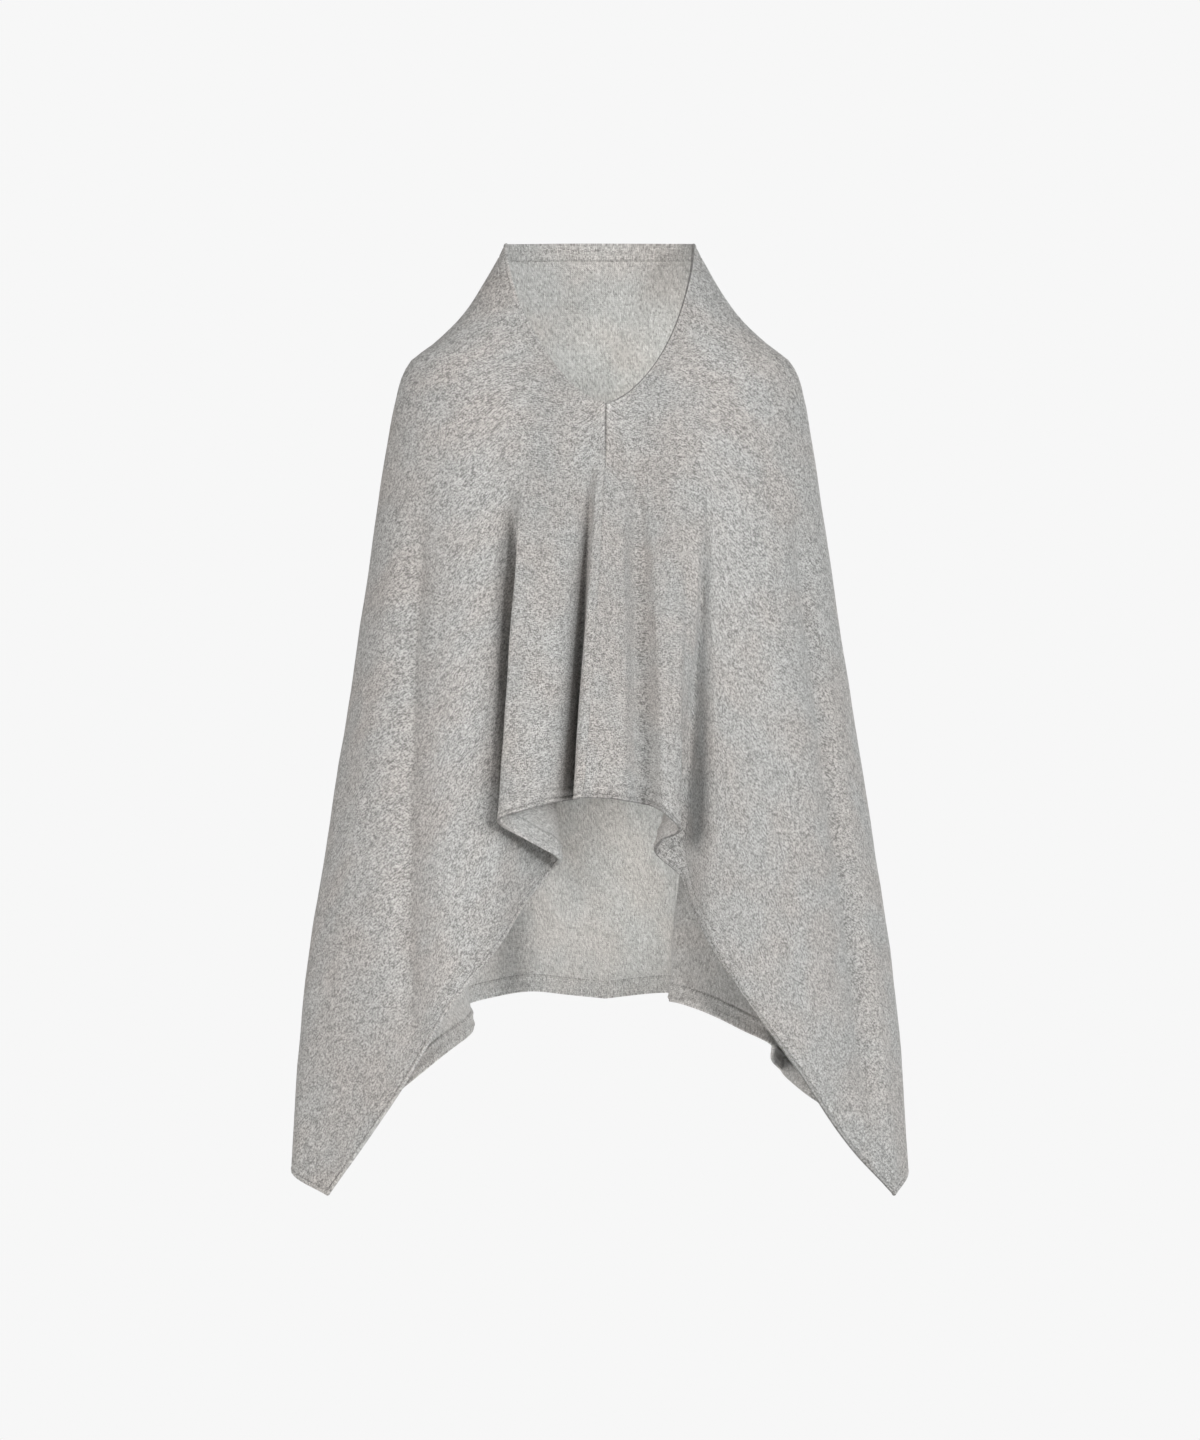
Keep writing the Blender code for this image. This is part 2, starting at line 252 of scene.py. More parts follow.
# %% Columns along the hem
FRONT_STEP = 0.0045       # distance between columns along the hem, in front
BACK_STEP = 0.0075        # and at the back
FEWEST_COLUMNS = 3        # between two hem points, however close they are
SEAM_COLUMNS = (0.0006, 0.0012, 0.0019)   # extra ones beside the centre front seam
FLAT_LENGTH = 1.48        # the rectangle, along the wales
FLAT_WIDTH = 0.75         # and across them, from the neck edge to the back hem
FLAT_V_POINT = 0.335      # along the neck edge from the centre back to the V
FLAT_SIDE_NECK = 0.115    # and to the side of the neck
TOP_WIDTH = (FLAT_V_POINT - FLAT_SIDE_NECK) / FLAT_WIDTH
SEAM_DEPTH = (FLAT_LENGTH / 2 - FLAT_V_POINT) / FLAT_WIDTH
NEXT_TO_NOTHING = 1e-9    # keeps a division at the corner from failing


def in_front(folds):
    """Whether a stretch of the hem is on the front."""
    return folds[0].angle > folds[-1].angle > 0


def hem_columns(folds):
    """For each column: angle, hem point, fold start and ease."""
    points = np.array([(f.x, f.y, f.z) for f in folds])
    knots = distances(points)
    step = FRONT_STEP if in_front(folds) else BACK_STEP
    counts = np.maximum(np.ceil(np.diff(knots) / step), FEWEST_COLUMNS).astype(int)
    at = [np.linspace(*span, count, endpoint=False)
          for *span, count in zip(knots[:-1], knots[1:], counts)]
    at = np.concatenate(at + [[knots[-1]]])
    if folds[0] is CENTRE_FRONT:
        at = np.insert(at, 1, SEAM_COLUMNS)
    rows = zip(*((f.angle, f.start, f.ease) for f in folds))
    angle, start, ease = (np.interp(at, knots, row) for row in rows)
    return np.radians(angle), smooth(knots, points, at), start, ease


# %% Rows down the body
SOFT_START = 0.10         # rounds off the place where a fold begins
INNER_ROWS = 76           # quads between the two turned edges
EDGE_STEPS = np.array((0, 0.0016, 0.0030, 0.0044, 0.0085, 0.0109, 0.0122, 0.0135, 0.0150))
RIM_ROW = 2               # the row where the rolled rim meets the flat cloth
STITCH_ROW = 6            # the row that the stitches of a turned edge sit on
WIDEST = 2.2              # most that a slanting hem is widened by
WIDEN_SMOOTHING = 12      # passes that even it out from column to column


def row_places(angle, length, widen):
    """How far down each column every row sits, from 0 at the neck to 1 at the hem."""
    power = 1 + SIDE_CROWDING * np.cos(angle) ** 2
    inner = np.linspace(0, 1, INNER_ROWS + 1)[1:-1, None] ** power
    top = EDGE_STEPS[:, None] / length
    bottom = top * widen
    inner = top[-1] + (1 - top[-1] - bottom[-1]) * inner
    return np.vstack([top, inner, 1 - bottom[::-1]])


def slant_of(grid):
    """How much longer an edge measures down each column than straight across it."""
    run, fall = np.gradient(grid[-1], axis=0), grid[-1] - grid[-2]
    area = np.linalg.norm(np.cross(run, fall), axis=1)
    sine = area / np.linalg.norm(run, axis=1) / np.linalg.norm(fall, axis=1)
    widen = 1 / np.clip(sine, WIDEST ** -1, 1)
    for _ in range(WIDEN_SMOOTHING):
        widen[1:-1] = (widen[:-2] + 2 * widen[1:-1] + widen[2:]) / 4
    return widen


def stretch(folds, side):
    """Grid of points of one stretch of the body, and its places on the flat cut.

    The first round finds the slant of the hem, the second spaces the rows by it.
    """
    angle, hem, start, ease = hem_columns(folds)
    top = neck_height(angle)
    widen = np.ones(len(angle))
    for _ in range(2):
        down = row_places(angle, top - hem[:, 2], widen)
        height = top - down * (top - hem[:, 2])
        grid = bell(np.broadcast_to(angle, height.shape), side, height)
        offset = hem - bell(angle, side, hem[:, 2])
        past = np.clip((down - start) / (1 - start), 0, 1)
        grown = (past * past * (1 + SOFT_START) / (past + SOFT_START)) ** ease
        grid += offset * grown[:, :, None]
        near_centre = np.clip(np.sin(angle), 0, 1) ** LEAN_FOCUS
        grid[:, :, 0] += SEAM_LEAN * near_centre * np.cos(down * np.pi / 2)
        widen = slant_of(grid)
    return grid, on_the_cut(grid, down, in_front(folds), side)


def on_the_cut(grid, down, is_front, side):
    """Places on the flat rectangle: metres along the wales and across them."""
    run = distances(grid, axis=1)
    share = run / run[:, -1:]
    half = FLAT_LENGTH / 2
    if is_front:
        along = FLAT_V_POINT + (FLAT_SIDE_NECK - FLAT_V_POINT) * share
        along += (half - along) * down
        across = FLAT_WIDTH * off_the_edge(share, down)
    else:
        along = (1 - share) * (FLAT_SIDE_NECK + (half - FLAT_SIDE_NECK) * down)
        across = FLAT_WIDTH * down
    return np.stack([side * along, across], axis=-1)


def off_the_edge(share, down):
    """How far in from the long edge that bends at the V, from 0 to 1 at the far corner.

    Neck and seam are one straight edge of the cloth, but two sides of the grid, so the
    distance from either side rounds the corner between them.
    """
    wide = TOP_WIDTH + (1 - TOP_WIDTH) * down
    deep = SEAM_DEPTH + (1 - SEAM_DEPTH) * share
    from_seam = share * (wide + (1 - wide) * share)
    from_neck = down * (deep + (1 - deep) * down)
    both = from_seam + from_neck - from_seam * from_neck
    return from_seam * from_neck / np.maximum(both, NEXT_TO_NOTHING)


# %% The whole ring, from the centre front round the left side and back again
def ring_of(stretches):
    """One grid from four: the right side runs backwards, shared columns appear once."""
    left_front, left_back, right_back, right_front = stretches
    return np.concatenate([left_front, left_back[:, 1:], right_back[:, -2::-1],
                           right_front[:, -2::-1]], axis=1)


stretches = [stretch(LEFT_FRONT, -1), stretch(LEFT_BACK, -1),
             stretch(RIGHT_BACK, 1), stretch(RIGHT_FRONT, 1)]
ring = ring_of([grid for grid, _ in stretches])
cut = ring_of([flat for _, flat in stretches])
ROWS, COLUMNS = ring.shape[:2]
LEFT_CORNER = stretches[0][0].shape[1] - 1
RIGHT_CORNER = COLUMNS - stretches[3][0].shape[1]
print("grid:", ROWS, "rows x", COLUMNS, "columns")


# %% Outward normals of the grid
def normals_of(grid):
    """Unit normals of a ring of points, pointing out of the garment."""
    closed = np.concatenate([grid[:, -2:-1], grid, grid[:, 1:2]], axis=1)
    round_it = closed[:, 2:] - closed[:, :-2]
    return unit(np.cross(round_it, np.gradient(grid, axis=0)))


print("front normal:", normals_of(ring)[ROWS // 2, 2].round(2))

# %% [markdown]
# ## Soft creases and a gentle unevenness
# Besides its big folds, worn knit has shallow troughs where it was folded or where it
# starts to hang from the arm. A crease is a path down one side of the body with a width
# and a depth, fading at both ends. Pressing the grid in along its own normals keeps the
# cloth whole.

# %% The creases
# side is the side of the body that a crease is on, width and depth are in metres, and the
# path is a list of places: x in front and at the back, y at the sides, and the height.
# steep, where given, makes the side of the crease with the smaller x or y narrower.
Crease = namedtuple("Crease", "name side width depth path steep", defaults=(1,))
CREASES = (
    Crease("left panel", "front", 0.0150, 0.0120, (
        (-0.177, -0.130), (-0.187, -0.285), (-0.190, -0.420), (-0.191, -0.570),
        (-0.189, -0.640), (-0.175, -0.700))),
    Crease("right panel", "front", 0.0120, 0.0120, (
        (0.198, -0.120), (0.207, -0.240), (0.220, -0.345), (0.233, -0.450),
        (0.246, -0.545), (0.256, -0.620), (0.261, -0.690), (0.276, -0.770))),
    Crease("soft fold", "front", 0.0110, 0.0048, (
        (0.036, -0.110), (0.038, -0.260), (0.0375, -0.340), (0.0370, -0.500))),
    Crease("left blade", "back", 0.014, 0.0090, (
        (-0.120, -0.060), (-0.135, -0.190), (-0.140, -0.330), (-0.150, -0.450))),
    Crease("right blade", "back", 0.012, 0.0085, (
        (0.135, -0.080), (0.142, -0.220), (0.155, -0.360), (0.160, -0.500))),
    Crease("middle of back", "back", 0.013, 0.0060, (
        (-0.030, -0.150), (-0.026, -0.300), (-0.030, -0.460))),
    Crease("pressed fold", "back", 0.0060, 0.0012, (
        (0.004, -0.380), (0.005, -0.740))),
    Crease("edge of back fold", "back", 0.030, 0.0160, (
        (0.090, -0.420), (0.090, -0.520), (0.088, -0.550), (0.083, -0.640),
        (0.079, -0.740)), 6),
    Crease("left arm", "left", 0.014, 0.0080, (
        (0.020, -0.110), (0.030, -0.260), (0.024, -0.430))),
    Crease("right arm", "right", 0.013, 0.0080, (
        (0.030, -0.090), (0.022, -0.240), (0.034, -0.400))),
)
OUTWARDS = {"front": (0, -1, 0), "back": (0, 1, 0), "left": (-1, 0, 0), "right": (1, 0, 0)}
FADE = 0.090              # metres that a crease takes to reach its full depth
BLUNT = 0.02              # rounds off the bottom of a crease
FACING = 0.6              # cosine from which cloth faces a side squarely enough
UNEVEN = 0.0009           # height of the gentle unevenness of the cloth
UNEVEN_SIZE = 0.060       # and the size of its swells
UNEVEN_NOISE = 1.0, 2.0, 2   # fall, step and number of its octaves


def eased(share):
    """A soft step from 0 to 1."""
    share = np.clip(share, 0, 1)
    return share * share * (3 - 2 * share)


def pressed(grid, facing):
    """How far each point sinks into the creases."""
    depth = np.zeros(grid.shape[:2])
    for crease in CREASES:
        outwards = np.array(OUTWARDS[crease.side])
        across = grid[:, :, 1 if outwards[0] else 0]
        height = grid[:, :, 2]
        path = np.array(crease.path)[::-1]
        away = (across - np.interp(height, path[:, 1], path[:, 0])) / crease.width
        away = np.where(away < 0, away * crease.steep, away)
        inside = np.minimum(height - path[0, 1], path[-1, 1] - height)
        faces = eased((facing @ outwards) / FACING)
        profile = np.exp(BLUNT ** 0.5 - np.sqrt(away ** 2 + BLUNT))
        depth += crease.depth * eased(inside / FADE) * faces * profile
    return depth


def swells(grid):
    """Low uneven waves over the whole surface."""
    flat = grid.reshape(-1, 3) / UNEVEN_SIZE
    heights = [noise.fractal(Vector(point), *UNEVEN_NOISE) for point in flat]
    return UNEVEN * np.array(heights).reshape(grid.shape[:2])


normals = normals_of(ring)
sunk = pressed(ring, normals)
lift = swells(ring)
lift[:, -1] = lift[:, 0]
ring = ring + normals * (lift - sunk)[:, :, None]
print("deepest crease: %.1f mm" % (1000 * sunk.max()))

# %% [markdown]
# ## Grooves at the seam and at the stitched edges
# The two ends of the rectangle meet in a linked seam, and every edge is turned in and
# caught with stitches. Both pull the cloth in a little. The grid is pressed in by its
# distance from the seam, with a low welt beside it over the joined edges, and along two
# rows at each edge, so that the lines show in the form, and as painted shade in the grooves
# and a painted highlight on the rims and welt in the colour of the knit.

# %% Press the lines in
RIM_ROLL = 0.0003         # how far the rolled rim stands out
SEAM_SINK = 0.0013        # depth of the groove at the centre front seam
SEAM_GROOVE = 0.0009      # half width of that groove
WELT_RISE = 0.0004        # height of the welt on both sides of it
WELT_PLACE = 0.0030       # distance of the welt from the seam
WELT_WIDTH = 0.0016       # and its half width
DOUBLE_ROW_REACH = 0.050  # how far down the strong, doubly stitched part goes
SEAM_BELOW = 0.35         # share of its groove that the seam keeps below that
SEAM_FADE = 0.01          # metres over which it weakens
RIM_SINK = 0.0009         # depth of the groove beside the rolled rim of a hem
NECK_RIM_SINK = 0.0003    # and of the neck
STITCH_SINK = 0.0008      # depth of the groove over the stitches of an edge
RIGHT_RIM_SHADE = 0.6           # painted shade on the rolled rim of the right front hem, in place of a painted highlight


def from_the_seam(grid):
    """Distance of every point from the centre front seam, along its row."""
    rightwards = distances(grid[:, ::-1], axis=1)[:, ::-1]
    return np.minimum(distances(grid, axis=1), rightwards)


normals = normals_of(ring)
seam_distance = from_the_seam(ring)
fallen = ring[0, 0, 2] - ring[:, :1, 2]
strong = SEAM_BELOW + (1 - SEAM_BELOW) * eased((DOUBLE_ROW_REACH - fallen) / SEAM_FADE)
sink = strong * SEAM_SINK * np.exp(-(seam_distance / SEAM_GROOVE) ** 2)
sink -= strong * WELT_RISE * np.exp(-((seam_distance - WELT_PLACE) / WELT_WIDTH) ** 2)
sink[RIM_ROW] += NECK_RIM_SINK
sink[-1 - RIM_ROW] += RIM_SINK
sink[[0, 1, -2, -1]] -= RIM_ROLL
sink[[STITCH_ROW, -1 - STITCH_ROW]] += STITCH_SINK
# Painted shade and highlight: every groove darkens the colour by its depth, and the rolled rims
# and the welt beside the seam are painted lighter.
painted_shading = np.clip(sink / RIM_SINK, -1, 1)
# The rolled rim of the right front hem gets painted shade.
painted_shading[-2:, RIGHT_CORNER:] = RIGHT_RIM_SHADE
ring = ring - normals * sink[:, :, None]
ring[:, -1] = ring[:, 0]
normals = normals_of(ring)
print("grooves pressed in")

# %% [markdown]
# ## Node groups for the knit
# Plain knit is columns of small V shapes, the wales. Seen from inside it is rows of
# little arcs, the courses. An image could hold that, but a node group worked out from
# the place on the flat cut stays sharp at any size and follows the bias of the cloth:
# upright at the centre front, slanting on the panels, level at the centre back.

# %% Small helpers that wire shader nodes
def new_group(name, inputs, outputs):
    """An empty node group with named sockets, and its two end nodes."""
    group = bpy.data.node_groups.new(name, "ShaderNodeTree")
    for kind, sockets in (("INPUT", inputs), ("OUTPUT", outputs)):
        for socket_name, socket_type, *default in sockets:
            socket = group.interface.new_socket(
                socket_name, in_out=kind, socket_type="NodeSocket" + socket_type)
            if default:
                socket.default_value = default[0]
    return group, group.nodes.new("NodeGroupInput"), group.nodes.new("NodeGroupOutput")


def feed(tree, socket, value):
    """Links a socket into another, or sets its value."""
    if isinstance(value, bpy.types.NodeSocket):
        tree.links.new(value, socket)
    else:
        socket.default_value = value


def fill(tree, node, **values):
    """Feeds inputs of a node by name, with underscores for spaces; returns the node."""
    for name, value in values.items():
        feed(tree, node.inputs[name.replace("_", " ")], value)
    return node


def add_node(tree, kind, **values):
    """A new shader node of the kind given, with inputs fed by name."""
    return fill(tree, tree.nodes.new("ShaderNode" + kind), **values)


def maths(tree, operation, *values, kind="Math"):
    """A node that works one sum out on sockets or numbers; returns its output."""
    node = add_node(tree, kind)
    node.operation = operation
    for socket, value in zip(node.inputs, values):
        feed(tree, socket, value)
    return node.outputs[0]


def vector_maths(tree, operation, *values):
    """The same on vectors or colours."""
    return maths(tree, operation, *values, kind="VectorMath")


# %% Groups: the face of the knit and the inside of it
WALE = 0.0021             # width of a column of stitches
COURSE = 0.0016           # height of a row of stitches
LEG_ROUNDNESS = 0.7       # exponent of the legs of a V: the lower, the flatter on top
LOOP_DIP = 0.5            # share of the height that is lost between two stitches
BEAD_DIP = 0.2            # and the most that is lost along an arc of the inside


def half_wave(group, value):
    """Rises from 0 to 1 and falls again over every whole step of the value."""
    turned = maths(group, "MULTIPLY", maths(group, "FRACT", value), math.pi)
    return maths(group, "SINE", turned)


def face_form(group, wale, course, slant):
    """Columns of V shapes, two slanting legs a wale: height, and the place in stitches."""
    across = maths(group, "FRACT", wale)
    from_middle = maths(group, "ABSOLUTE", maths(group, "SUBTRACT", across, 0.5))
    leaning = maths(group, "MULTIPLY_ADD", from_middle, slant, course)
    wave = maths(group, "SINE", maths(group, "MULTIPLY", across, math.tau))
    leg = maths(group, "POWER", maths(group, "ABSOLUTE", wave), LEG_ROUNDNESS)
    loop = half_wave(group, leaning)
    dipped = maths(group, "MULTIPLY_ADD", loop, LOOP_DIP, 1 - LOOP_DIP)
    return maths(group, "MULTIPLY", leg, dipped), maths(group, "MULTIPLY", wale, 2), leaning


def back_form(group, wale, course, arc_height):
    """Ridges of little arcs along the courses: height, and the place in stitches."""
    arc = maths(group, "SINE", maths(group, "MULTIPLY", wale, math.tau))
    waving = maths(group, "MULTIPLY_ADD", arc, arc_height, course)
    bead = maths(group, "MULTIPLY_ADD", arc, BEAD_DIP, 1 - BEAD_DIP)
    return maths(group, "MULTIPLY", half_wave(group, waving), bead), wale, waving


def knit_group(name, form, bend_name, bend):
    """Height and hollows of one side of plain knit, and a random shade for each stitch."""
    group, given, out = new_group(
        name,
        [("Cut", "Vector"), ("Wale Width", "Float", WALE), ("Course Height", "Float", COURSE),
         (bend_name, "Float", bend)],
        [("Height", "Float"), ("Hollow", "Float"), ("Stitch", "Float")])
    place = add_node(group, "SeparateXYZ", Vector=given.outputs["Cut"])
    wale = maths(group, "DIVIDE", place.outputs["Y"], given.outputs["Wale Width"])
    course = maths(group, "DIVIDE", place.outputs["X"], given.outputs["Course Height"])
    height, across, along = form(group, wale, course, given.outputs[bend_name])
    stitch = add_node(group, "CombineXYZ", X=maths(group, "FLOOR", across),
                      Y=maths(group, "FLOOR", along))
    shade = add_node(group, "TexWhiteNoise", Vector=stitch.outputs[0])
    fill(group, out, Height=height, Hollow=maths(group, "SUBTRACT", 1.0, height),
         Stitch=shade.outputs["Value"])
    return group


KNIT_FACE = knit_group("Knit Face", face_form, "Slant", 0.9)
KNIT_BACK = knit_group("Knit Back", back_form, "Arc", 0.22)
print("groups:", KNIT_FACE.name, KNIT_BACK.name)

# %% [markdown]
# ## A node group for heather wool
# Heather yarn is spun from fibres dyed in several greys, so it never takes one colour:
# fine fibres and short dark and light streaks follow the yarn, which runs across the
# wales, with softer blotches over them and a slow drift between warm and cool. Four noise
# textures at those four sizes give it, stretched along the yarn.

# %% Group: heather
# A layer of noise has a size along the wales and across them in metres, a place in the
# noise that it is taken from, and a weight.
Layer = namedtuple("Layer", "along across shift weight")
FIBRES = Layer(0.0006, 0.0010, 0.0, 2.4)
STREAKS = Layer(0.0008, 0.0036, 7.3, 2.5)
BLOTCHES = Layer(0.0085, 0.0130, 3.1, 0.35)
DRIFT = Layer(0.0500, 0.0550, 11.7, 3.6)
STITCH_WEIGHT = 0.8       # how much the random shade of each stitch counts


def layer_noise(group, cut_socket, layer):
    """Noise in the plane of the cut, around 0, drawn out to the sizes of the layer."""
    scaled = vector_maths(group, "MULTIPLY", cut_socket, (1 / layer.along, 1 / layer.across, 0))
    moved = vector_maths(group, "ADD", scaled, (0, 0, layer.shift))
    texture = add_node(group, "TexNoise", Vector=moved, Scale=1, Detail=1)
    return maths(group, "SUBTRACT", texture.outputs[0], 0.5)


def mixed(tree, share, first, second):
    """Colour part of the way from the first to the second."""
    node = add_node(tree, "Mix")
    node.data_type = "RGBA"
    sockets = {socket.identifier: socket for socket in (*node.inputs, *node.outputs)}
    feed(tree, sockets["Factor_Float"], share)
    feed(tree, sockets["A_Color"], first)
    feed(tree, sockets["B_Color"], second)
    return sockets["Result_Color"]


def heather_group():
    """Colour of heather wool, from the place on the cut and a shade for each stitch, with
    painted shade in the hollows.
    """
    group, given, out = new_group(
        "Heather",
        [("Cut", "Vector"), ("Stitch", "Float", 0.5), ("Hollow", "Float", 0.0),
         ("Light", "Color", (0.5, 0.5, 0.5, 1)), ("Dark", "Color", (0.25, 0.25, 0.25, 1)),
         ("Warm", "Color", (1.0, 0.98, 0.96, 1)), ("Cool", "Color", (0.98, 1.0, 1.0, 1)),
         ("Contrast", "Float", 1.0), ("Hollow Shade", "Float", 0.25)],
        [("Color", "Color"), ("Fibre", "Float")])
    fibres, streaks, blotches, drift = (
        layer_noise(group, given.outputs["Cut"], layer)
        for layer in (FIBRES, STREAKS, BLOTCHES, DRIFT))
    single = maths(group, "SUBTRACT", given.outputs["Stitch"], 0.5)
    total = 0.0
    for shade, weight in ((fibres, FIBRES.weight), (streaks, STREAKS.weight),
                          (blotches, BLOTCHES.weight), (single, STITCH_WEIGHT)):
        total = maths(group, "MULTIPLY_ADD", shade, weight, total)
    share = maths(group, "MULTIPLY_ADD", total, given.outputs["Contrast"], 0.5)
    grey = mixed(group, share, given.outputs["Dark"], given.outputs["Light"])
    warmth = maths(group, "MULTIPLY_ADD", drift, DRIFT.weight, 0.5)
    tint = mixed(group, warmth, given.outputs["Warm"], given.outputs["Cool"])
    # Painted shade: the hollows of the knit darken the colour, and the mask that comes in with
    # them also paints grooves darker and rims lighter.
    shaded = maths(group, "MULTIPLY", given.outputs["Hollow"], given.outputs["Hollow Shade"])
    shaded = maths(group, "SUBTRACT", 1.0, shaded)
    colour = vector_maths(group, "MULTIPLY", grey, tint)
    fill(group, out, Color=vector_maths(group, "MULTIPLY", colour, shaded), Fibre=fibres)
    return group


HEATHER = heather_group()
print("group:", HEATHER.name)


# %% [markdown]
# ## Wool materials
# The face, the inside and the turned edges are one wool, seen from two sides and pressed
# in one place. Each is a material of its own that holds the same groups with its own
# values. The sheen is the fuzz that stands off every woollen surface. An attribute of the
# mesh, painted_shading, holds painted shade for the grooves of stitches and seam and for
# the folds of turned edges, and a painted highlight for rolled rims and the welt.

# %% Values of the wool
LIGHT = (0.765, 0.755, 0.740, 1)
DARK = (0.230, 0.225, 0.218, 1)
WOOL_ROUGHNESS = 0.92
SHEEN = 0.25
SHEEN_ROUGHNESS = 0.55
SPECULAR = 0.25
PAINTED_SHADING_WEIGHT = 0.9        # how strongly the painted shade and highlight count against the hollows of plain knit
FIBRE_ROUGHNESS = 0.1     # how much the roughness changes from fibre to fibre
FIBRE_RELIEF = 0.5        # how far fibres stand out, as a share of the knitted relief


def use_group(tree, group, **values):
    """Places a node group and fills its named inputs."""
    node = add_node(tree, "Group")
    node.node_tree = group
    return fill(tree, node, **values)


def new_material(name):
    """A material, its node tree and its shader."""
    material = bpy.data.materials.new(name)
    material.use_nodes = True
    return material, material.node_tree, material.node_tree.nodes["Principled BSDF"]


def cut_place(tree):
    """The place on the flat cut, as a socket."""
    place = add_node(tree, "UVMap")
    place.uv_map = "cut"
    return place.outputs["UV"]


def fuzzy(tree, shader, height, relief, **values):
    """Fills the shader of wool, raised by a height from 0 to 1 and covered in fuzz."""
    bump = add_node(tree, "Bump", Height=height, Distance=relief)
    fill(tree, shader, Normal=bump.outputs[0], Sheen_Weight=SHEEN,
         Sheen_Roughness=SHEEN_ROUGHNESS, **values)


def wool(name, side_group, relief, contrast, hollow_shade):
    """A wool material: heather colour, knitted relief and a little fuzz."""
    material, tree, shader = new_material(name)
    place = cut_place(tree)
    knit = use_group(tree, side_group, Cut=place)
    painted_shading_here = add_node(tree, "Attribute")
    painted_shading_here.attribute_name = "painted_shading"
    # The painted shade and highlight of the mesh attribute add to the hollows of the knit.
    painted_shade_mask = maths(tree, "MULTIPLY_ADD", painted_shading_here.outputs["Fac"], PAINTED_SHADING_WEIGHT,
                   knit.outputs["Hollow"])
    colour = use_group(tree, HEATHER, Cut=place, Stitch=knit.outputs["Stitch"],
                       Hollow=painted_shade_mask, Light=LIGHT, Dark=DARK,
                       Contrast=contrast, Hollow_Shade=hollow_shade)
    fibre = colour.outputs["Fibre"]
    height = maths(tree, "MULTIPLY_ADD", fibre, FIBRE_RELIEF, knit.outputs["Height"])
    fuzzy(tree, shader, height, relief, Base_Color=colour.outputs["Color"],
          Roughness=maths(tree, "MULTIPLY_ADD", fibre, FIBRE_ROUGHNESS, WOOL_ROUGHNESS),
          Specular_IOR_Level=SPECULAR)
    return material


WOOL_FACE = wool("wool face", KNIT_FACE, relief=0.00045, contrast=1.0, hollow_shade=0.30)
WOOL_INSIDE = wool("wool inside", KNIT_BACK, relief=0.00022, contrast=0.42, hollow_shade=0.15)
WOOL_PRESSED = wool("wool turned edge", KNIT_FACE, relief=0.00022, contrast=0.55,
                    hollow_shade=0.30)
print("materials:", [m.name for m in (WOOL_FACE, WOOL_INSIDE, WOOL_PRESSED)])

# %% [markdown]
# ## The body panel
# The shell is a sheet on the grid of points, welded to itself down the centre front and
# thickened inwards. Its inner faces take the inside of the knit. Every point carries its
# place on the flat cut as a UV map, in metres, which is what the knit follows.

# %% A mesh from a grid of points
def finished(name, shape):
    """The mesh that was made in a bmesh, which ends with it."""
    mesh = bpy.data.meshes.new(name)
    shape.to_mesh(mesh)
    shape.free()
    return mesh


def grid_mesh(name, points, flat):
    """A mesh of quads over a grid of points, with the flat places as UV map 'cut'."""
    rows, columns = points.shape[:2]
    sheet = bmesh.new()
    bmesh.ops.create_grid(sheet, x_segments=columns - 1, y_segments=rows - 1, size=1)
    mesh = finished(name, sheet)
    mesh.vertices.foreach_set("co", points.ravel())
    corners = np.empty(len(mesh.loops), int)
    mesh.loops.foreach_get("vertex_index", corners)
    uv = mesh.uv_layers.new(name="cut")
    uv.data.foreach_set("uv", flat.reshape(-1, 2)[corners].ravel())
    mesh.shade_smooth()
    mesh.update()
    return mesh


def mark_painted_shading(mesh, values):
    """Stores painted shade (above 0) and painted highlight (below 0) at every point."""
    attribute = mesh.attributes.new("painted_shading", "FLOAT", "POINT")
    attribute.data.foreach_set("value", values.ravel())


def add_object(name, mesh, materials):
    """An object in the scene with the materials given."""
    for material in materials:
        mesh.materials.append(material)
    piece = bpy.data.objects.new(name, mesh)
    bpy.context.scene.collection.objects.link(piece)
    return piece


# %% Build the shell
panel = add_object("poncho_panel", grid_mesh("poncho_panel", ring, cut),
                   (WOOL_FACE, WOOL_INSIDE))
mark_painted_shading(panel.data, painted_shading)
seam = panel.modifiers.new("seam", "WELD")
seam.merge_threshold = WELD_REACH
wall = panel.modifiers.new("wall", "SOLIDIFY")
wall.thickness = CLOTH
wall.offset = -1
wall.use_even_offset = False
wall.material_offset = 1
print("panel:", len(panel.data.polygons), "quads a side")

# %% [markdown]
# ## Turned edges
# A turned edge is the same cloth rolled over to the inside. Seen from the edge it is a
# round fold, and that soft roll is what tells knit from paper. So each edge is a strip
# with a J profile: from the outer face round the fold, then up the inside and back.

# %% The J profile along an edge
ROLL_STEPS = 6            # steps round the half circle of the fold
FLUSH = 0.0002            # keeps the strip off the cut end of the wall behind it
TAPER = 0.0009            # how much thinner a turned edge is where it ends
SEWN_IN = 0.0002          # how far its very end is drawn into the panel
SEWN_REACH = 0.0016       # and over what distance
SHARP_TURN = math.radians(60)   # a turned edge keeps its corners from here on
FOLD_ON_CUT = 0.3         # share of the edge's first row that the fold takes on the cut


